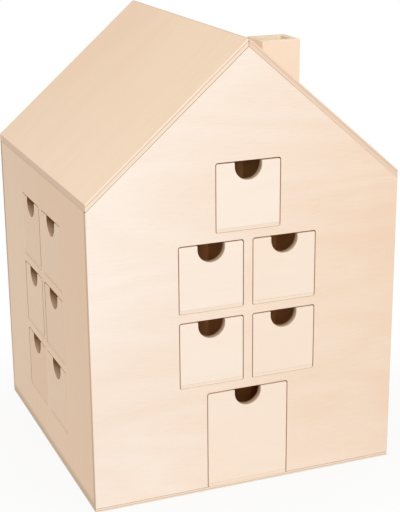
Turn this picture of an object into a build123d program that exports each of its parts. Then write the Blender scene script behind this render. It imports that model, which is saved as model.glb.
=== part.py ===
from build123d import *
import os

# Advent calendar house of plain plywood: a gabled shell with 24 drawers, six on each side.
# Millimetres. X runs to the right, Y to the back and Z up, from the middle of the underside.

# Shell
house_width = 280.0
house_depth = 280.0
roof_rise = 121.5
panel = 5.0
base_thickness = 3.0

# Drawer openings in the four sides
cell_width = 58.5
cell_height = 59.2
column_gap = 8.0
row_gap = 7.6
corner_radius = 2.0
door_width = 75.5
door_height = 89.0
side_sill = 35.3
side_head = 32.4

# Drawers
front_thickness = 6.0
drawer_board = 3.0
drawer_gap = 0.7
foot_gap = 0.3
head_gap = 1.1
rear_gap = 1.5
side_drop = 3.0
notch_radius = 12.2
notch_straight = 3.2

# Boards that carry the drawers
cabinet_board = 3.0

# Chimney
chimney_width = 36.0
chimney_depth = 33.0
chimney_board = 6.0
chimney_x = 68.5
chimney_y = -39.0
chimney_drop = 17.5

# Heights of the drawer rows, from the lower edge of each opening
row_pitch = cell_height + row_gap
bottom_row = base_thickness + side_sill
side_rows = [bottom_row, bottom_row + row_pitch, bottom_row + 2 * row_pitch]
side_top = side_rows[-1] + cell_height
lower_row = base_thickness + door_height + row_gap
upper_row = lower_row + row_pitch
attic_row = upper_row + row_pitch
attic_top = attic_row + cell_height

# Roof lines, on the outer faces of the walls and along the ridge
roof_slope = roof_rise / (house_width / 2)
roof_drop = panel * (1 + roof_slope**2) ** 0.5
wall_top = side_top + side_head
eave_height = wall_top + roof_drop
ridge_height = eave_height + roof_rise

# Half widths, seen from the middle of a side
column_middle = (column_gap + cell_width) / 2
column_half = column_gap / 2 + cell_width
core_half = max(column_half, door_width / 2) + cabinet_board


def slab(x, y, z):
    """A board that spans the given ranges in X, Y and Z."""
    middle = [(low + high) / 2 for low, high in (x, y, z)]
    return Pos(*middle) * Box(x[1] - x[0], y[1] - y[0], z[1] - z[0])


def prism(points, y):
    """A board with an outline of (x, z) points, running along Y."""
    outline = Polyline(*[(px, y[0], pz) for px, pz in points], close=True)
    return extrude(make_face(outline), amount=y[1] - y[0], dir=(0, 1, 0))


def rounded_bar(width, height, radius, y):
    """A bar along Y that stands on Z = 0, with rounded corners in its section."""
    section = Plane.XZ * Pos(0, height / 2) * RectangleRounded(width, height, radius)
    return Pos(0, y[0], 0) * extrude(section, amount=y[1] - y[0], dir=(0, 1, 0))


def pair(x, y, z):
    """Two like boards, one on each side of X = 0."""
    return [slab((-x[1], -x[0]), y, z), slab(x, y, z)]


# Each drawer cell is the middle of its lower edge, seen from outside the side that it is on,
# and the cells of a side are numbered from the top left.
front_cells = [
    (0, attic_row),
    (-column_middle, upper_row),
    (column_middle, upper_row),
    (-column_middle, lower_row),
    (column_middle, lower_row),
]
side_cells = [(x, row) for row in reversed(side_rows) for x in (-column_middle, column_middle)]


def opening(width, height, half):
    """Cutter that stands on Z = 0 and passes through a side whose outer face is at Y = -half."""
    return rounded_bar(width, height, corner_radius, (-half - panel, -half + 2 * panel))


def cut_cells(board, cells, half):
    """The board of a side with an opening in each of its cells."""
    for x, z in cells:
        board -= Pos(x, 0, z) * opening(cell_width, cell_height, half)
    return board


def base_panel():
    """Base under the whole footprint."""
    x = house_width / 2
    y = house_depth / 2
    return slab((-x, x), (-y, y), (0, base_thickness))


def gable():
    """Front gable: it covers the ends of the walls and stands on the base. Its door is open
    down to the base, so the rounded lower corners of that cutter lie below the board."""
    half = house_depth / 2
    side = house_width / 2
    outline = [
        (-side, base_thickness),
        (side, base_thickness),
        (side, wall_top),
        (0, wall_top + roof_rise),
        (-side, wall_top),
    ]
    board = cut_cells(prism(outline, (-half, -half + panel)), front_cells, half)
    door_foot = 2 * corner_radius
    door = opening(door_width, door_height + door_foot, half)
    return board - Pos(0, 0, base_thickness - door_foot) * door


def wall():
    """Side wall, seen as if it were at the front: it stands between the gables,
    bevelled on top to carry the roof."""
    outer = -house_width / 2
    inner = outer + panel
    length = house_depth / 2 - panel
    outline = [
        (outer, base_thickness),
        (inner, base_thickness),
        (inner, wall_top + panel * roof_slope),
        (outer, wall_top),
    ]
    board = Rot(0, 0, 90) * prism(outline, (-length, length))
    return cut_cells(board, side_cells, house_width / 2)


def roof_panel():
    """Left roof panel, plumb at the eave and mitred at the ridge."""
    eave = -house_width / 2
    outline = [
        (eave, eave_height - roof_drop),
        (0, ridge_height - roof_drop),
        (0, ridge_height),
        (eave, eave_height),
    ]
    return prism(outline, (-house_depth / 2, house_depth / 2))


def chimney_boards():
    """Four boards of an open tube, cut below to the slope of the right roof panel."""
    side = chimney_width / 2
    side_inner = side - chimney_board
    face = chimney_depth / 2
    face_inner = face - chimney_board
    top = ridge_height - chimney_drop

    def board(x, y):
        low, high = chimney_x + x[0], chimney_x + x[1]
        outline = [
            (low, ridge_height - roof_slope * low),
            (high, ridge_height - roof_slope * high),
            (high, top),
            (low, top),
        ]
        return prism(outline, (chimney_y + y[0], chimney_y + y[1]))

    return {
        "front": board((-side, side), (-face, -face_inner)),
        "back": board((-side, side), (face_inner, face)),
        "left": board((-side, -side_inner), (-face_inner, face_inner)),
        "right": board((side_inner, side), (-face_inner, face_inner)),
    }


def drawer(width, height, length):
    """Five boards of a drawer whose front is at Y = 0, standing on Z = 0. The front and the
    boards behind it stand on the bottom board, and the front is the tallest of them."""
    half = width / 2
    inner = half - drawer_board
    behind = (front_thickness, length)
    front_height = (drawer_board, height)
    side_height = (drawer_board, height - side_drop)
    notch_bottom = height - notch_straight
    notch_round = Rot(90, 0, 0) * Cylinder(notch_radius, front_thickness)
    notch = slab((-notch_radius, notch_radius), (0, front_thickness), (notch_bottom, height))
    notch += Pos(0, front_thickness / 2, notch_bottom) * notch_round
    boards = [
        slab((-half, half), (0, front_thickness), front_height) - notch,
        slab((-half, half), (0, length), (0, drawer_board)),
        slab((-inner, inner), (length - drawer_board, length), side_height),
        *pair((inner, half), behind, side_height),
    ]
    passage = rounded_bar(width, height, corner_radius - drawer_gap, (0, length))
    return [board & passage for board in boards]


def side_drawers(cells, half):
    """A drawer in each cell, resting on its shelf just above the edge of the opening."""
    length = half - core_half - rear_gap
    box = drawer(cell_width - 2 * drawer_gap, cell_height - foot_gap - head_gap, length)
    return [[Pos(x, -half, z + foot_gap) * board for board in box] for x, z in cells]


def door_drawer(half):
    """The tall drawer under a gable, resting on the base."""
    length = half - core_half - rear_gap
    box = drawer(door_width - 2 * drawer_gap, door_height - head_gap, length)
    return [Pos(0, -half, base_thickness) * board for board in box]


def shelf_at(row, half_width, y):
    """A shelf whose top carries the drawers just above the lower edge of their openings."""
    top = row + foot_gap
    return slab((-half_width, half_width), y, (top - cabinet_board, top))


def divider_at(row, top, y):
    """A board between two columns, from the shelf of a row up to the given height."""
    return slab((-column_gap / 2, column_gap / 2), y, (row + foot_gap, top))


def side_cabinet():
    """Boards behind the left and right walls, seen as if they were at the front."""
    y = (-house_width / 2 + panel, -core_half)
    shelf_drop = cabinet_board - foot_gap
    tops = [side_rows[1] - shelf_drop, side_rows[2] - shelf_drop, side_top]
    return {
        "cheeks": pair((column_half, column_half + cabinet_board), y, (base_thickness, side_top)),
        "shelves": [shelf_at(row, column_half, y) for row in side_rows],
        "dividers": [divider_at(row, top, y) for row, top in zip(side_rows, tops)],
    }


def gable_cabinet():
    """Boards behind a gable: a door bay, two rows of two drawers and an attic bay."""
    y = (-house_depth / 2 + panel, -core_half)
    shelf_drop = cabinet_board - foot_gap
    door_side = (door_width / 2, door_width / 2 + cabinet_board)
    attic_side = (cell_width / 2, cell_width / 2 + cabinet_board)
    row_side = (column_half, column_half + cabinet_board)
    return {
        "door_guides": pair(door_side, y, (base_thickness, lower_row - shelf_drop)),
        "lower_shelf": [shelf_at(lower_row, core_half, y)],
        "cheeks": pair(row_side, y, (lower_row + foot_gap, attic_row - shelf_drop)),
        "upper_shelf": [shelf_at(upper_row, column_half, y)],
        "dividers": [
            divider_at(lower_row, upper_row - shelf_drop, y),
            divider_at(upper_row, attic_row - shelf_drop, y),
        ],
        "attic_shelf": [shelf_at(attic_row, core_half, y)],
        "attic_guides": pair(attic_side, y, (attic_row + foot_gap, attic_top)),
    }


def core_boards():
    """A square shaft in the middle of the house that the drawers stop against."""
    inner = core_half - cabinet_board
    gable_board = slab((-core_half, core_half), (-core_half, -inner), (base_thickness, attic_top))
    side_board = slab((-inner, inner), (-core_half, -inner), (base_thickness, side_top))
    return gable_board, side_board


def write(name, solids):
    """Save the solids of one node."""
    export_step(Compound(children=solids), f"parts/{name}.step")


def write_side(side, turn, core, cabinet, drawers):
    """Save what belongs to one side of the house, turned to face that way."""
    facing = Rot(0, 0, turn)
    write(f"{side}_core_board", [facing * core])
    for name, boards in cabinet.items():
        write(f"{side}_{name}", [facing * board for board in boards])
    for number, boards in enumerate(drawers, start=1):
        write(f"{side}_drawer_{number}", [facing * board for board in boards])


os.makedirs("parts", exist_ok=True)

# Base, roof and chimney
write("base_panel", [base_panel()])
write("left_roof_panel", [roof_panel()])
write("right_roof_panel", [Rot(0, 0, 180) * roof_panel()])
for place, board in chimney_boards().items():
    write(f"chimney_{place}_board", [board])

# Gables and walls, each with its core board, its cabinet and its six drawers
gable_core, side_core = core_boards()
gable_drawers = [*side_drawers(front_cells, house_depth / 2), door_drawer(house_depth / 2)]
wall_drawers = side_drawers(side_cells, house_width / 2)
for side, turn in (("front", 0), ("back", 180)):
    write(f"{side}_gable", [Rot(0, 0, turn) * gable()])
    write_side(side, turn, gable_core, gable_cabinet(), gable_drawers)
for side, turn in (("left", -90), ("right", 90)):
    write(f"{side}_wall", [Rot(0, 0, turn) * wall()])
    write_side(side, turn, side_core, side_cabinet(), wall_drawers)
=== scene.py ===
import bpy
import math
import numpy as np
from mathutils import Matrix, Vector
from mathutils.geometry import tessellate_polygon


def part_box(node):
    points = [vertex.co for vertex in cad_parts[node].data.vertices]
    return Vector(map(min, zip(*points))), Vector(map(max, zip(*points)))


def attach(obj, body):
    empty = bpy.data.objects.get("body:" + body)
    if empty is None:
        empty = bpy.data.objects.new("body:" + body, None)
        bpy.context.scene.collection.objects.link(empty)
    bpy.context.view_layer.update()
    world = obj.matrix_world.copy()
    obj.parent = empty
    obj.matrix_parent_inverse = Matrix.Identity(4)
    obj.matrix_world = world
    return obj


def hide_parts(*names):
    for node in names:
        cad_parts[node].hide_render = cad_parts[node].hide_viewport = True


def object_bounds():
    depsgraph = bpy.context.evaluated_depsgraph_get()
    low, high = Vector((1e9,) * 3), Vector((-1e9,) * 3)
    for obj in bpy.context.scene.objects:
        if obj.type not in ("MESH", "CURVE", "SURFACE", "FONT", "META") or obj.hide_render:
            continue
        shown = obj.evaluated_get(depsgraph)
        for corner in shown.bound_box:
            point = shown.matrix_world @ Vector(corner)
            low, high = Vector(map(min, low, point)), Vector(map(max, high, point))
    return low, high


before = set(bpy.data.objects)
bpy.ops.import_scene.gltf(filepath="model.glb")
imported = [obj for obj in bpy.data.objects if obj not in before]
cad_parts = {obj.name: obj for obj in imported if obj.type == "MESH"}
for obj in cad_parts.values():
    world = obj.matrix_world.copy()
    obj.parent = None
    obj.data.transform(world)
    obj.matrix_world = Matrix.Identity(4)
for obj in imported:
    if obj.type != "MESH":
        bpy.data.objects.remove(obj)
cad_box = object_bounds()


# Base panel
# A thin sheet of three-ply birch plywood, sawn to the footprint of the house. The gables and
# the walls stand on it, glued down, and its sawn edge shows all round as a narrow strip.

sanded_edge = 0.0003
sanding_steps = 4
sawn_corner = 0.0004
same_spot = 1e-6
figure_reach = 40
bare_wood_shine = 0.3
base_sheet = 11
across_way, up_way, out_way = np.eye(3)


def soften(corners, radius, steps=3):
    """Closed outline with an arc at each corner. The arc's centre lies on the bisector, at
    radius / sin(half the angle), and its points are the centre plus
    (sin((1 - t) turn) first + sin(t turn) last) / sin(turn), for even steps of t. Points that
    fall together, where two arcs meet, are kept once."""
    corners = np.asarray(corners, float)
    radius = np.broadcast_to(radius, len(corners))[:, None]
    back = np.roll(corners, 1, axis=0) - corners
    back /= np.linalg.norm(back, axis=1, keepdims=True)
    ahead = np.roll(corners, -1, axis=0) - corners
    ahead /= np.linalg.norm(ahead, axis=1, keepdims=True)
    half = np.arccos((back * ahead).sum(axis=1, keepdims=True)) / 2
    bisector = (back + ahead) / np.linalg.norm(back + ahead, axis=1, keepdims=True)
    centre = corners + bisector * radius / np.sin(half)
    first = corners + back * radius / np.tan(half) - centre
    last = corners + ahead * radius / np.tan(half) - centre
    turn = (math.pi - 2 * half)[:, None]
    t = np.linspace(0, 1, steps + 1)[None, :, None]
    arc = np.sin((1 - t) * turn) * first[:, None] + np.sin(t * turn) * last[:, None]
    outline = (centre[:, None] + arc / np.sin(turn)).reshape(-1, 2)
    step = np.linalg.norm(outline - np.roll(outline, 1, axis=0), axis=1)
    return outline[step > same_spot]


def rectangle(across, up):
    """Corners of an upright rectangle, anticlockwise."""
    return [(across[0], up[0]), (across[1], up[0]), (across[1], up[1]), (across[0], up[1])]


def facing(turn):
    """Rows across, up and outwards of a side turned about the vertical: 0 is the front."""
    c, s = round(math.cos(math.radians(turn))), round(math.sin(math.radians(turn)))
    return np.array([(c, s, 0), (0, 0, 1), (s, -c, 0)], float)


def board(loops, run, axes, ply, grain, finish, sheet):
    """A plywood board. Each outline is carried along the run on a profile with a quarter round
    at both ends, point(k, i) = outline(i) + inset(k) mitre(i) + height(k), and the ends are
    filled flat. Layer is 0 to 1 through the plies, figure the place along and across the grain
    and through the sheet, from a start drawn by the sheet's number, and end how squarely a face
    cuts across the grain. Joint and shade is how far a dark joint or painted shade darkens a
    spot, nowhere at first, and every face has the one finish to begin with."""
    sweep = np.linspace(0, math.pi / 2, sanding_steps)
    inset = sanded_edge * (1 - np.sin(sweep))
    inset = np.concatenate([inset, inset[::-1]])
    rise = sanded_edge * (1 - np.cos(sweep))
    height = np.concatenate([run[0] + rise, run[1] - rise[::-1]])
    points, faces, rims, start = [], [], ([], []), 0
    for outline in loops:
        edge = np.roll(outline, -1, axis=0) - outline
        edge /= np.linalg.norm(edge, axis=1, keepdims=True)
        left = np.stack([-edge[:, 1], edge[:, 0]], axis=1)
        before = np.roll(left, 1, axis=0)
        mitre = (before + left) / (1 + (before * left).sum(axis=1, keepdims=True))
        rings = outline + inset[:, None, None] * mitre
        level = np.broadcast_to(height[:, None, None], (*rings.shape[:2], 1))
        points.append(np.concatenate([rings, level], axis=2).reshape(-1, 3))
        ring = np.arange(len(outline))
        low = start + len(outline) * np.arange(len(height) - 1)[:, None]
        high = low + len(outline)
        after = np.roll(ring, -1)
        faces.append(np.stack([low + ring, low + after, high + after], axis=2).reshape(-1, 3))
        faces.append(np.stack([low + ring, high + after, high + ring], axis=2).reshape(-1, 3))
        rims[0].append(start + ring)
        rims[1].append(high[-1] + ring)
        start += rings.shape[0] * len(outline)
    points = np.concatenate(points)
    for rim, outwards in zip(rims, (-1, 1)):
        order = np.concatenate(rim)
        fill = np.array(tessellate_polygon([points[ring].tolist() for ring in rim]))
        a, b, c = points[order[fill]].transpose(1, 2, 0)[:, :2]
        b, c = b - a, c - a
        turned = (b[0] * c[1] - b[1] * c[0]) * outwards < 0
        fill[turned] = fill[turned][:, ::-1]
        faces.append(order[fill])
    faces = np.concatenate(faces)
    depth = points @ ply
    a, b, c = points[faces].transpose(1, 0, 2)
    normal = np.cross(b - a, c - a)
    normal /= np.linalg.norm(normal, axis=1, keepdims=True)
    start = np.random.default_rng(sheet).uniform(0, figure_reach, 3)
    return {
        "points": points @ axes,
        "faces": faces,
        "layer": (depth - depth.min()) / (depth.max() - depth.min()),
        "figure": points @ np.stack([grain, np.cross(ply, grain), ply], axis=1) + start,
        "end": abs(normal @ grain),
        "worn": np.zeros(len(points)),
        "finishes": [finish],
        "face_finish": np.zeros(len(faces), int),
    }


def glue_up(name, boards, body, node):
    """One piece made of its boards, riding on a body in place of a plain solid."""
    mesh = bpy.data.meshes.new(name)
    starts = np.cumsum([0] + [len(b["points"]) for b in boards])
    points = np.concatenate([b["points"] for b in boards])
    faces = np.concatenate([b["faces"] + start for b, start in zip(boards, starts)])
    mesh.from_pydata(points.tolist(), [], faces.tolist())
    for key, kind, domain, field in (
        ("layer", "FLOAT", "POINT", "value"),
        ("figure", "FLOAT_VECTOR", "POINT", "vector"),
        ("end", "FLOAT", "FACE", "value"),
        ("worn", "FLOAT", "POINT", "value"),
    ):
        values = np.concatenate([b[key] for b in boards]).astype(np.float32).ravel()
        mesh.attributes.new(key, kind, domain).data.foreach_set(field, values)
    finishes = list(dict.fromkeys(finish for b in boards for finish in b["finishes"]))
    for finish in finishes:
        mesh.materials.append(finish)
    places = [np.array([finishes.index(finish) for finish in b["finishes"]]) for b in boards]
    on_faces = np.concatenate([place[b["face_finish"]] for place, b in zip(places, boards)])
    mesh.polygons.foreach_set("material_index", on_faces.astype(np.int32))
    mesh.update()
    piece = bpy.data.objects.new(name, mesh)
    bpy.context.scene.collection.objects.link(piece)
    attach(piece, body)
    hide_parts(node)


def srgb(red, green, blue):
    """Linear colour of a display colour from 0 to 255: ((c + 0.055) / 1.055) ** 2.4."""
    return tuple(((c / 255 + 0.055) / 1.055) ** 2.4 for c in (red, green, blue)) + (1,)


def add(tree, kind, inputs, out=0, **settings):
    """A node with its settings made, its inputs set or linked, and one output given back."""
    node = tree.nodes.new(kind)
    for key, value in settings.items():
        setattr(node, key, value)
    for key, value in inputs.items():
        if isinstance(value, bpy.types.NodeSocket):
            tree.links.new(value, node.inputs[key])
        else:
            node.inputs[key].default_value = value
    return node.outputs[out]


def calc(tree, operation, a, b=0.0, c=0.0):
    """One Math node."""
    return add(tree, "ShaderNodeMath", {0: a, 1: b, 2: c}, operation=operation)


def apart(tree, value, middle):
    """How far a value lies from a middle one, either way."""
    return calc(tree, "ABSOLUTE", calc(tree, "SUBTRACT", value, middle))


def ease(tree, value, start, stop, low=0.0, high=1.0):
    """Smooth step of a value, from low where it is at the start to high at the stop."""
    levels = {0: value, 1: start, 2: stop, 3: low, 4: high}
    return add(tree, "ShaderNodeMapRange", levels, interpolation_type="SMOOTHSTEP")


def sway(tree, noise, share, tone):
    """A tone moved by a share of what a noise has above one half."""
    return calc(tree, "MULTIPLY_ADD", calc(tree, "SUBTRACT", noise, 0.5), share, tone)


def mixed(tree, factor, a, b):
    """One colour turning into another."""
    return add(tree, "ShaderNodeMix", {0: factor, 6: a, 7: b}, out=2, data_type="RGBA")


def cell_noise(tree, place, cells, detail):
    """Noise with that many cells to the metre along each of the place's three directions."""
    scaled = add(tree, "ShaderNodeVectorMath", {0: place, 1: cells}, operation="MULTIPLY")
    return add(tree, "ShaderNodeTexNoise", {"Vector": scaled, "Scale": 1.0, "Detail": detail})


def plywood_group():
    """Shader group of sanded birch plywood. The face is pale veneer with soft bands, contour
    lines of a rotary cut, fibres and short flecks. An edge has three plies with thin glue lines:
    the face plies show end grain where they are cut across, and the core does elsewhere, by the
    share Core. Seam darkens one more line on the edges along the grain. Spots of dark joints and
    of painted shade turn brown."""
    tree = bpy.data.node_groups.new("birch_plywood", "ShaderNodeTree")
    for name in ("Pale", "Deep", "Long Edge", "End Grain"):
        tree.interface.new_socket(name, in_out="INPUT", socket_type="NodeSocketColor")
    for name in ("Contrast", "Core", "Seam"):
        tree.interface.new_socket(name, in_out="INPUT", socket_type="NodeSocketFloat")
    for name, kind in (("Color", "Color"), ("Roughness", "Float"), ("Height", "Float")):
        tree.interface.new_socket(name, in_out="OUTPUT", socket_type="NodeSocket" + kind)
    given = tree.nodes.new("NodeGroupInput").outputs
    place = add(tree, "ShaderNodeAttribute", {}, out=1, attribute_name="figure")
    layer = add(tree, "ShaderNodeAttribute", {}, out=2, attribute_name="layer")
    end = add(tree, "ShaderNodeAttribute", {}, out=2, attribute_name="end")
    worn = add(tree, "ShaderNodeAttribute", {}, out=2, attribute_name="worn")

    mean_tone = 0.42
    rings_in_contour = 75.0
    ring_share = 0.06
    fleck_share = 0.35
    drift = cell_noise(tree, place, cells=(1.7, 2.4, 2.4), detail=0.0)
    bands = cell_noise(tree, place, cells=(3.0, 10.0, 10.0), detail=2.0)
    contour = cell_noise(tree, place, cells=(2.2, 11.0, 11.0), detail=1.0)
    rings = calc(tree, "SINE", calc(tree, "MULTIPLY", contour, rings_in_contour))
    fibres = cell_noise(tree, place, cells=(45.0, 1300.0, 1300.0), detail=3.0)
    specks = cell_noise(tree, place, cells=(160.0, 2400.0, 2400.0), detail=1.0)
    flecks = ease(tree, specks, start=0.66, stop=0.76)
    tone = sway(tree, drift, share=2.2, tone=mean_tone)
    tone = sway(tree, bands, share=0.8, tone=tone)
    tone = calc(tree, "MULTIPLY_ADD", rings, ring_share, tone)
    tone = sway(tree, fibres, share=0.55, tone=tone)
    tone = calc(tree, "MULTIPLY_ADD", flecks, fleck_share, tone)
    tone = add(tree, "ShaderNodeClamp", {0: calc(tree, "MULTIPLY", tone, given["Contrast"])})
    veneer = mixed(tree, tone, given["Pale"], given["Deep"])

    glue_place = 1 / 6
    seam_place = 0.65
    edge_share = 0.75
    pore_share = 0.5
    glue_share = 0.3
    joint_and_shade_share = 0.75
    half_across = 0.5
    glue_brown = srgb(150, 106, 76)
    seam_brown = srgb(120, 98, 78)
    joint_and_shade_brown = srgb(128, 85, 46)
    middle = apart(tree, layer, 0.5)
    edge = ease(tree, middle, start=0.49, stop=0.44)
    core = ease(tree, middle, start=0.17, stop=0.09)
    glue = ease(tree, apart(tree, middle, glue_place), start=0.06, stop=0.02)
    seam = ease(tree, apart(tree, layer, seam_place), start=0.09, stop=0.03)
    pores = cell_noise(tree, place, cells=(1900.0, 1900.0, 1900.0), detail=2.0)
    sawn = mixed(tree, calc(tree, "MULTIPLY", pores, pore_share), given["End Grain"], given["Deep"])
    crosscut = calc(tree, "MAXIMUM", end, calc(tree, "MULTIPLY", core, given["Core"]))
    colour = mixed(tree, calc(tree, "MULTIPLY", edge, edge_share), veneer, given["Long Edge"])
    colour = mixed(tree, crosscut, colour, sawn)
    dark = calc(tree, "MULTIPLY", glue, calc(tree, "MULTIPLY", bands, glue_share))
    colour = mixed(tree, dark, colour, glue_brown)
    with_grain = calc(tree, "LESS_THAN", end, half_across)
    seam = calc(tree, "MULTIPLY", seam, calc(tree, "MULTIPLY", with_grain, given["Seam"]))
    colour = mixed(tree, seam, colour, seam_brown)
    # Dark joints and painted shade, both marked by the joint and shade attribute, turn brown.
    colour = mixed(tree, calc(tree, "MULTIPLY", worn, joint_and_shade_share), colour, joint_and_shade_brown)

    least_rough = 0.5
    fibre_rough = 0.16
    fleck_depth = 0.6
    roughness = calc(tree, "MULTIPLY_ADD", fibres, fibre_rough, least_rough)
    height = calc(tree, "SUBTRACT", fibres, calc(tree, "MULTIPLY", flecks, fleck_depth))
    put = tree.nodes.new("NodeGroupOutput").inputs
    for name, value in (("Color", colour), ("Roughness", roughness), ("Height", height)):
        tree.links.new(value, put[name])
    return tree


plywood = plywood_group()


def ply_finish(name, pale, deep, long_edge, end_grain, contrast=1.0, core=0.9, seam=0.0):
    """Material of one kind of plywood board, bare and sanded, with its own colours, the contrast
    of its figure, and how strongly the core's end grain and the seam show."""
    material = bpy.data.materials.new(name)
    material.use_nodes = True
    tree = material.node_tree
    shader = tree.nodes["Principled BSDF"]
    group = tree.nodes.new("ShaderNodeGroup")
    group.node_tree = plywood
    colours = {"Pale": pale, "Deep": deep, "Long Edge": long_edge, "End Grain": end_grain}
    for key, value in colours.items():
        group.inputs[key].default_value = srgb(*value)
    for key, value in (("Contrast", contrast), ("Core", core), ("Seam", seam)):
        group.inputs[key].default_value = value
    relief = {"Strength": 0.12, "Distance": 0.0002, "Height": group.outputs["Height"]}
    tree.links.new(group.outputs["Color"], shader.inputs["Base Color"])
    tree.links.new(group.outputs["Roughness"], shader.inputs["Roughness"])
    tree.links.new(add(tree, "ShaderNodeBump", relief), shader.inputs["Normal"])
    shader.inputs["Specular IOR Level"].default_value = bare_wood_shine
    return material


# Painted shade: the sawn edges are greyer than the face, and darker where the end grain shows on the
# sides, for the shade along the foot of the house.
base_ply = ply_finish(
    "base_ply",
    pale=(248, 227, 205),
    deep=(236, 204, 174),
    long_edge=(247, 231, 213),
    end_grain=(208, 188, 168),
)
low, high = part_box("base_panel")
outline = soften(rectangle((low.x, high.x), (low.z, high.z)), sawn_corner)
sheet = board([outline], (-high.y, -low.y), facing(0), up_way, across_way, base_ply, base_sheet)
glue_up("base_panel_sheet", [sheet], "house", "base_panel")


# Walls
# The left and right sides are sheets with six drawer openings, routed with small round corners.
# They stand between the gables with their grain upright, planed on top to the roof's slope. Their
# feet darken above a fine dark joint, partly wear from the table and partly painted shade near
# the floor, and some openings carry painted shade along their left edge, where a gap shows dark.

drawer_gap = 0.0007
foot_gap = 0.0003
head_gap = 0.0011
opening_corner = 0.002
foot_line = 0.00022
foot_round = 0.9 * sanded_edge
joint_dark = 0.9
gap_shade_dark = 1.33
gap_shade_width = 1.5 * sanded_edge
face_skin = 0.1 * sanded_edge
foot_wear_and_shade_brown = srgb(110, 95, 82)
gap_shaded_openings = (3, 4, 5)
wall_sheets = {"left": 20, "right": 21}
sides = {"front": 0, "back": 180, "left": -90, "right": 90}
drawer_numbers = range(1, 7)


def drawer_box(side, number):
    """Ranges of a drawer across, up and outwards, as seen from outside its side."""
    corners = np.array(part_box(f"{side}_drawer_{number}")) @ facing(sides[side]).T
    return np.sort(corners, axis=0).T


def opening(side, number):
    """Outline of the hole round a drawer, run clockwise so that its left is wood."""
    across, up, _ = drawer_box(side, number)
    widened = (across + (-drawer_gap, drawer_gap), up + (-foot_gap, head_gap))
    return soften(rectangle(*widened), opening_corner, steps=8)[::-1]


def paint_gap_shade(sheet, axes, line, up):
    """Paint shade on a board's edge along an upright line, where the gap beside a drawer shows dark, but
    not on its face.
    """
    spot = sheet["points"] @ axes.T
    along = (spot[:, 1] > up[0]) & (spot[:, 1] < up[1])
    near = abs(spot[:, 0] - line) < gap_shade_width
    below_face = spot[:, 2] < spot[:, 2].max() - face_skin
    sheet["worn"][along & near & below_face] = gap_shade_dark


def foot_wear_and_shade(finish, full, none, share):
    """Deepen a finish towards the foot of the house, partly wear from the table and partly painted
    shade near the floor: the dark takes up a share of its colour below the height where it is full,
    and falls smoothly to nothing at the height for none."""
    tree = finish.node_tree
    colour = tree.nodes["Principled BSDF"].inputs["Base Color"]
    clean = colour.links[0].from_socket
    place = add(tree, "ShaderNodeTexCoord", {}, out=3)
    height = add(tree, "ShaderNodeSeparateXYZ", {0: place}, out=2)
    wear_and_shade_share = ease(tree, height, start=full, stop=none, low=share, high=0.0)
    tree.links.new(mixed(tree, wear_and_shade_share, clean, foot_wear_and_shade_brown), colour)


wall_ply = ply_finish(
    "wall_ply",
    pale=(248, 219, 190),
    deep=(238, 200, 165),
    long_edge=(244, 216, 188),
    end_grain=(220, 187, 158),
    contrast=0.5,
)
# Painted shade near the floor, together with wear from the table: the walls darken towards their foot.
foot_wear_and_shade(wall_ply, full=0.003, none=0.0115, share=0.34)
roof_low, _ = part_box("left_roof_panel")
roof_slope = (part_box("front_gable")[1].z - roof_low.z) / -roof_low.x
wall_top = roof_low.z
for side, number_of_sheet in wall_sheets.items():
    axes = facing(sides[side])
    across, up, out = np.sort(np.array(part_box(f"{side}_wall")) @ axes.T, axis=0).T
    foot = up[0] + foot_line
    outline = soften(rectangle(across, (foot, wall_top)), sawn_corner)
    holes = [opening(side, number) for number in drawer_numbers]
    sheet = board([outline, *holes], out, axes, out_way, up_way, wall_ply, number_of_sheet)
    sheet["worn"][sheet["points"][:, 2] < foot + foot_round] = joint_dark
    # Painted shade along the left edge of some openings, where the gap beside the drawer shows dark.
    for number in gap_shaded_openings:
        drawer_across, drawer_up, _ = drawer_box(side, number)
        paint_gap_shade(sheet, axes, drawer_across[0] - drawer_gap, drawer_up)
    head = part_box(f"{side}_drawer_1")[1].z + 2 * opening_corner
    planed = np.clip((sheet["points"][:, 2] - head) / (wall_top - head), 0, 1)
    sheet["points"][:, 2] += roof_slope * (out[1] - sheet["points"] @ axes[2]) * planed
    glue_up(f"{side}_wall_sheet", [sheet], "house", f"{side}_wall")


# Gables
# The front and back are five-sided sheets over the ends of the walls, with level grain. Five
# drawer openings are cut in each, and the tall door opening runs down to the base. Fine dark
# joints run under the roof and on the base, the faintest under the slope at the right.

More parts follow.
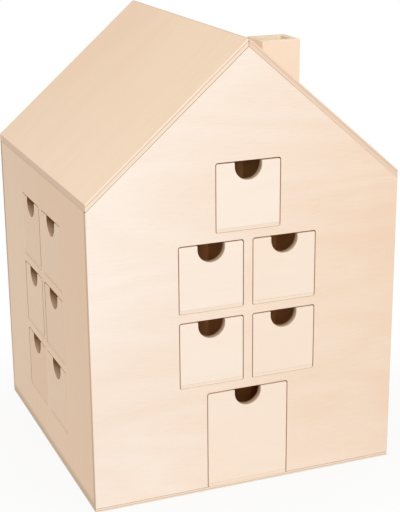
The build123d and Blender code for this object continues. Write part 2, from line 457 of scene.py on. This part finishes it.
joint_line = 0.00014
joint_reach = 1.3 * joint_line
joint_faint = 0.4
door_number = drawer_numbers[-1]
gable_sheets = {"front": 1312, "back": 1313}
gable_ply = ply_finish(
    "gable_ply",
    pale=(250, 237, 225),
    deep=(241, 212, 185),
    long_edge=(247, 226, 203),
    end_grain=(212, 178, 150),
)
for side, number_of_sheet in gable_sheets.items():
    axes = facing(sides[side])
    across, up, out = np.sort(np.array(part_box(f"{side}_gable")) @ axes.T, axis=0).T
    door_across, door_up, _ = drawer_box(side, door_number)
    door = door_across + (-drawer_gap, drawer_gap)
    door_top = door_up[1] + head_gap
    foot = up[0] + foot_line
    rake = math.hypot(1, roof_slope) * joint_line
    corners = [
        (across[0], foot),
        (door[0], foot),
        (door[0], door_top),
        (door[1], door_top),
        (door[1], foot),
        (across[1], foot),
        (across[1], roof_low.z),
        (rake / (2 * roof_slope), up[1] - rake / 2),
        (across[0], roof_low.z - rake),
    ]
    radius = np.full(len(corners), sawn_corner)
    radius[2:4] = opening_corner
    holes = [opening(side, number) for number in drawer_numbers[:-1]]
    outline = soften(corners, radius, steps=6)
    sheet = board([outline, *holes], out, axes, out_way, across_way, gable_ply, number_of_sheet)
    spot = sheet["points"] @ axes.T
    below_roof = (up[1] - roof_slope * abs(spot[:, 0]) - spot[:, 1]) / math.hypot(1, roof_slope)
    above_foot = spot[:, 1] - foot
    joint = np.minimum(below_roof, above_foot) < joint_reach
    right_rake = (spot[:, 0] > 0) & (below_roof < above_foot)
    sheet["worn"] = np.where(right_rake, joint_faint, joint_dark) * joint
    glue_up(f"{side}_gable_sheet", [sheet], "house", f"{side}_gable")


# Roof
# Two sheets lie on the gables and walls, their grain running down the slope. Each is sawn plumb
# at the eave, flush with the wall, and mitred against the other along the ridge. A thin dark seam
# between plies shows along the sloping ends.

mitre_line = 0.00015
roof_sheets = {"left": 376, "right": 378}
roof_ply = {
    "left": ply_finish(
        "left_roof_ply",
        pale=(254, 227, 198),
        deep=(243, 211, 179),
        long_edge=(250, 230, 211),
        end_grain=(224, 190, 161),
        contrast=0.8,
        core=0.2,
        seam=0.4,
    ),
    "right": ply_finish(
        "right_roof_ply",
        pale=(247, 218, 189),
        deep=(234, 200, 168),
        long_edge=(236, 210, 188),
        end_grain=(216, 182, 154),
        contrast=0.8,
        core=0.2,
        seam=0.25,
    ),
}
ridge = cad_box[1].z
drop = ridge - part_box("front_gable")[1].z
for side, hand in (("left", -1), ("right", 1)):
    low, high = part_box(f"{side}_roof_panel")
    run = (-high.y, -low.y)
    eave = hand * -roof_low.x
    crown = hand * mitre_line
    corners = [(eave, low.z), (crown, ridge - drop), (crown, ridge), (eave, low.z + drop)]
    slope = np.array([hand * 1.0, -roof_slope, 0]) / math.hypot(1, roof_slope)
    normal = np.array([hand * roof_slope, 1.0, 0]) / math.hypot(1, roof_slope)
    outline = soften(corners[:: -hand], sawn_corner)
    sheet = board([outline], run, facing(0), normal, slope, roof_ply[side], roof_sheets[side])
    glue_up(f"{side}_roof_sheet", [sheet], "house", f"{side}_roof_panel")


# Chimney
# Four short boards glued into an open square tube, the front and back ones over the ends of the
# other two. The tube is sawn below to the slope and glued onto the right roof sheet. Its right
# board is deeper in tone inside the tube, painted shade where least light comes; the back board
# is paler, painted light on its inside face, and the front board's edges are paler, painted light
# on its top edge.

first_chimney_sheet = 50
flat_layer = 0.001
# Painted light: the front board's sawn edges are paler than the other boards', so that its top edge reads
# as lit from above.
chimney_front_painted_light_rim_ply = ply_finish(
    "chimney_front_painted_light_rim_ply",
    pale=(251, 234, 214),
    deep=(244, 220, 196),
    long_edge=(253, 232, 206),
    end_grain=(255, 234, 206),
    contrast=0.8,
)
chimney_side_ply = ply_finish(
    "chimney_side_ply",
    pale=(251, 234, 214),
    deep=(244, 220, 196),
    long_edge=(246, 223, 196),
    end_grain=(240, 214, 185),
    contrast=0.8,
)
# Painted light: the back board is paler than the others, so that its inside face reads as lit.
chimney_back_painted_light_ply = ply_finish(
    "chimney_back_painted_light_ply",
    pale=(255, 243, 218),
    deep=(254, 229, 200),
    long_edge=(246, 223, 196),
    end_grain=(240, 214, 185),
    contrast=0.8,
)
painted_flue_shade = ply_finish(
    "chimney_flue_painted_shade_ply",
    pale=(244, 217, 188),
    deep=(237, 204, 172),
    long_edge=(246, 223, 196),
    end_grain=(240, 214, 185),
    contrast=0.8,
)
chimney_ply = {
    "front": chimney_front_painted_light_rim_ply,
    "back": chimney_back_painted_light_ply,
    "left": chimney_side_ply,
    "right": chimney_side_ply,
}


def paint_inside_shade(panel, layer, finish):
    """Give one face of a board, its first layer at 0 or its last at 1, a finish of painted shade, as
    inside a box.
    """
    inside = (abs(panel["layer"] - layer) < flat_layer)[panel["faces"]].all(axis=1)
    panel["face_finish"][inside] = len(panel["finishes"])
    panel["finishes"].append(finish)


for sheet, place in enumerate(chimney_ply, start=first_chimney_sheet):
    low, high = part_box(f"chimney_{place}_board")
    run = (-high.y, -low.y)
    corners = [
        (low.x, ridge - roof_slope * low.x),
        (high.x, ridge - roof_slope * high.x),
        (high.x, high.z),
        (low.x, high.z),
    ]
    ply = out_way if place in ("front", "back") else across_way
    outline = soften(corners, sawn_corner)
    short = board([outline], run, facing(0), ply, up_way, chimney_ply[place], sheet)
    # Painted shade on the right board's inner face.
    if place == "right":
        paint_inside_shade(short, 0, painted_flue_shade)
    glue_up(f"chimney_{place}", [short], "house", f"chimney_{place}_board")


# Drawers
# Twenty-four open boxes, each glued from five boards: a thicker front with a round finger notch,
# a bottom whose edge shows under the front, two sides and a back a little lower than the front.
# The notches' edges carry painted shade, most on the walls, and the faces inside the boxes are
# painted warmer and deeper, as painted shade.

front_thickness = 0.006
box_board = 0.003
drawer_corner = 0.0013
side_drop = 0.003
notch_radius = 0.0122
notch_straight = 0.0032
notch_reach = notch_straight + 1.01 * notch_radius
notch_shade_least = 0.5
notch_shade_gain = 1.1
notch_shade_most = 1.3
face_layer = 0.99
edge_round = 0.6 * sanded_edge
gap_shaded_fronts = (1, 3)
first_drawer_sheet = 885
gable_front_ply = ply_finish(
    "gable_drawer_front_ply",
    pale=(250, 236, 222),
    deep=(247, 228, 210),
    long_edge=(244, 217, 189),
    end_grain=(238, 206, 175),
)
gable_bottom_ply = ply_finish(
    "gable_drawer_bottom_ply",
    pale=(250, 236, 222),
    deep=(247, 228, 210),
    long_edge=(251, 232, 210),
    end_grain=(247, 222, 198),
)
wall_front_ply = ply_finish(
    "wall_drawer_front_ply",
    pale=(247, 219, 191),
    deep=(238, 202, 168),
    long_edge=(243, 215, 186),
    end_grain=(236, 206, 176),
    contrast=0.4,
)
box_ply = ply_finish(
    "drawer_box_ply",
    pale=(250, 228, 204),
    deep=(240, 206, 174),
    long_edge=(247, 222, 196),
    end_grain=(230, 196, 164),
)
# Painted shade: the faces inside the boxes are a warmer, deeper tone than outside, for shade and warm
# bounce light inside them, the tall door drawer's deepest.
box_inside_shade_ply = ply_finish(
    "drawer_inside_painted_shade_ply",
    pale=(250, 203, 146),
    deep=(243, 189, 129),
    long_edge=(248, 203, 148),
    end_grain=(227, 173, 120),
)
door_box_shade_ply = ply_finish(
    "door_drawer_inside_deep_shade_ply",
    pale=(228, 158, 92),
    deep=(216, 142, 78),
    long_edge=(248, 203, 148),
    end_grain=(227, 173, 120),
)


def drawer_front(across, up):
    """Outline of a drawer front: a rectangle with round upper corners and, cut into its top, a
    notch whose lower corners are quarter circles of half its width."""
    notch = across.mean() + (-notch_radius, notch_radius)
    floor_line = up[1] - notch_straight - notch_radius
    corners = [
        (across[0], up[0]),
        (across[1], up[0]),
        (across[1], up[1]),
        (notch[1], up[1]),
        (notch[1], floor_line),
        (notch[0], floor_line),
        (notch[0], up[1]),
        (across[0], up[1]),
    ]
    radius = np.full(len(corners), sawn_corner)
    radius[[2, 7]] = drawer_corner
    radius[4:6] = notch_radius
    return soften(corners, radius, steps=16)


sheet = first_drawer_sheet
for side, turn in sides.items():
    axes = facing(turn)
    in_gable = side in ("front", "back")
    front_ply = gable_front_ply if in_gable else wall_front_ply
    foot_ply = gable_bottom_ply if in_gable else wall_front_ply
    for number in drawer_numbers:
        across, up, out = drawer_box(side, number)
        above = np.array([up[0] + box_board, up[1]])
        wall = np.array([above[0], up[1] - side_drop])
        inner = across + (box_board, -box_board)
        flanks = ((across[0], inner[0]), (inner[1], across[1]))
        behind = (out[0], out[1] - front_thickness)
        ahead = (behind[1], out[1])
        rear = (out[0], out[0] + box_board)
        lower = (drawer_corner, drawer_corner, sawn_corner, sawn_corner)
        face = drawer_front(across, above)
        foot = soften(rectangle(across, (up[0], above[0])), lower, steps=6)
        back = soften(rectangle(inner, wall), sawn_corner)
        left, right = (soften(rectangle(flank, wall), sawn_corner) for flank in flanks)

        front = board([face], ahead, axes, out_way, across_way, front_ply, sheet)
        spot = front["points"] @ axes.T
        notched = abs(spot[:, 0] - across.mean()) < notch_radius + sawn_corner
        high_up = spot[:, 1] > up[1] - notch_reach
        # Painted shade on the notch's edges: in the gables darker deeper into the notch, on the walls
        # darker towards the top, under the opening's head, but not on the outer face.
        notch_shade = 1 - front["layer"]
        if not in_gable:
            rise = (spot[:, 1] - up[1]) / (notch_straight + notch_radius) + 1
            notch_shade = np.clip(notch_shade_least + notch_shade_gain * rise, notch_shade_least, notch_shade_most)
            notch_shade *= front["layer"] < face_layer
        front["worn"] = notched * high_up * notch_shade
        # Painted shade along the right edge of some wall drawer fronts, where the gap shows dark.
        if not in_gable and number in gap_shaded_fronts:
            paint_gap_shade(front, axes, across[1], up)

        bottom = board([foot], out, axes, up_way, across_way, foot_ply, sheet + 1)
        if in_gable:
            spot = bottom["points"] @ axes.T
            from_front = out[1] - spot[:, 2]
            rounded = (from_front > face_skin) & (from_front < edge_round)
            joint = spot[:, 1] > above[0] - edge_round
            door_gap_shade = (spot[:, 1] < up[0] + edge_round) & (number == door_number)
            bottom["worn"][rounded & joint] = joint_faint
            # Painted shade in the gap under the door drawer, along its lower edge above the base.
            bottom["worn"][rounded & door_gap_shade] = joint_dark

        boards = [
            front,
            bottom,
            board([back], rear, axes, out_way, across_way, box_ply, sheet + 2),
            board([left], behind, axes, across_way, out_way, box_ply, sheet + 3),
            board([right], behind, axes, across_way, out_way, box_ply, sheet + 4),
        ]
        inner_shade = door_box_shade_ply if in_gable and number == door_number else box_inside_shade_ply
        for panel, layer in zip(boards, (0, 1, 1, 1, 0)):
            paint_inside_shade(panel, layer, inner_shade)
        name = f"{side}_drawer_{number}"
        glue_up(f"{name}_box", boards, name, name)
        sheet += len(boards)


# Cabinet
# Plain boards inside the house carry the drawers: a square shaft in the middle that they stop
# against, shelves under them, and cheeks, dividers and guides beside them, all sawn plywood.

# Painted shade: the boards inside the house are a warm deep tone, for the shade and warm bounce light
# inside it.
cabinet_pale = srgb(244, 180, 110)
cabinet_deep = srgb(232, 160, 92)
least_rough = 0.55
streak_rough = 0.15
cabinet_warm_shade_ply = bpy.data.materials.new("cabinet_warm_shade_ply")
cabinet_warm_shade_ply.use_nodes = True
tree = cabinet_warm_shade_ply.node_tree
shader = tree.nodes["Principled BSDF"]
place = add(tree, "ShaderNodeTexCoord", {}, out=3)
streaks = cell_noise(tree, place, cells=(30.0, 30.0, 700.0), detail=4.0)
roughness = calc(tree, "MULTIPLY_ADD", streaks, streak_rough, least_rough)
tree.links.new(mixed(tree, streaks, cabinet_pale, cabinet_deep), shader.inputs["Base Color"])
tree.links.new(roughness, shader.inputs["Roughness"])
shader.inputs["Specular IOR Level"].default_value = bare_wood_shine
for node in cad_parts.values():
    if not node.hide_render:
        node.data.materials.clear()
        node.data.materials.append(cabinet_warm_shade_ply)


# Floor
# A plain pale table top. Near the house the camera sees it with a soft shadow, and farther out
# it turns into the white of the room.

white = (1, 1, 1, 1)
table_grey = (0.75, 0.75, 0.75, 1)
table_rough = 0.9
table_reach = np.array([-3.0, 3.0])
grid = np.stack(np.meshgrid(table_reach, table_reach, [0.0]), axis=-1).reshape(-1, 3)
floor_mesh = bpy.data.meshes.new("floor")
floor_mesh.from_pydata(grid.tolist(), [], [(0, 1, 3, 2)])
floor = bpy.data.objects.new("floor", floor_mesh)
bpy.context.scene.collection.objects.link(floor)


def seen_rays(tree):
    """1 for rays of the camera, of reflections and of glass, 0 for the light on the house."""
    path = tree.nodes.new("ShaderNodeLightPath").outputs
    seen = calc(tree, "MAXIMUM", path["Is Camera Ray"], path["Is Glossy Ray"])
    return calc(tree, "MAXIMUM", seen, path["Is Transmission Ray"])


table_white = bpy.data.materials.new("table_white")
table_white.use_nodes = True
tree = table_white.node_tree
shader = tree.nodes["Principled BSDF"]
shader.inputs["Base Color"].default_value = table_grey
shader.inputs["Roughness"].default_value = table_rough
shader.inputs["Specular IOR Level"].default_value = 0.0
glow = add(tree, "ShaderNodeEmission", {"Color": white, "Strength": 1.0})
place = add(tree, "ShaderNodeTexCoord", {}, out=3)
away = add(tree, "ShaderNodeVectorMath", {0: place}, out=1, operation="LENGTH")
fade = ease(tree, away, start=0.16, stop=0.32, low=0.88, high=1.0)
share = calc(tree, "MULTIPLY", seen_rays(tree), fade)
surface = add(tree, "ShaderNodeMixShader", {0: share, 1: shader.outputs[0], 2: glow})
tree.links.new(surface, tree.nodes["Material Output"].inputs["Surface"])
floor_mesh.materials.append(table_white)


# Light
# A large soft lamp high in front of the house, even light from all round, and a small warm lamp
# in line with the camera that reaches into the notches. The front is brightest, the roof a little
# less and the left wall least.

room_light = 0.63
aim = Vector((0, 0, 0.2))
world = bpy.data.worlds.new("studio")
bpy.context.scene.world = world
world.use_nodes = True
tree = world.node_tree
room = tree.nodes["Background"]
room.inputs["Color"].default_value = white
strength = calc(tree, "MULTIPLY_ADD", seen_rays(tree), 1 - room_light, room_light)
tree.links.new(strength, room.inputs["Strength"])


def hang_lamp(name, place, size, energy, tint):
    """A round lamp aimed at the lower middle of the house, and itself unseen by the camera."""
    lamp_data = bpy.data.lights.new(name, "AREA")
    lamp_data.shape = "DISK"
    lamp_data.size = size
    lamp_data.energy = energy
    lamp_data.color = tint
    lamp = bpy.data.objects.new(name, lamp_data)
    lamp.location = place
    lamp.rotation_euler = (aim - Vector(place)).to_track_quat("-Z", "Y").to_euler()
    lamp.visible_camera = False
    bpy.context.scene.collection.objects.link(lamp)


hang_lamp("key", place=(-1.1, -3.6, 3.0), size=2.8, energy=86, tint=(1, 1, 1))
hang_lamp("fill", place=(-1.25, -2.96, 1.06), size=0.5, energy=7.0, tint=(1, 0.86, 0.68))


# Camera
# It stands to the left of the front, higher than the ridge, and looks down on the roof, as the
# photograph was taken, with a lens that lets the house fill the picture.

picture_height = 512
focal_pixels = 1297.2
film_width = 36
eye = (-0.41835, -1.08087, 0.54256)
heading = math.radians(-21.731)
pitch = math.radians(17.876)
roll = math.radians(-0.504)
camera_data = bpy.data.cameras.new("camera")
camera_data.sensor_width = film_width
camera_data.lens = focal_pixels / picture_height * film_width
camera = bpy.data.objects.new("camera", camera_data)
camera.matrix_world = (
    Matrix.Translation(eye)
    @ Matrix.Rotation(heading, 4, "Z")
    @ Matrix.Rotation(math.pi / 2 - pitch, 4, "X")
    @ Matrix.Rotation(roll, 4, "Z")
)
bpy.context.scene.collection.objects.link(camera)
bpy.context.scene.camera = camera
bpy.context.scene.view_settings.view_transform = "Standard"
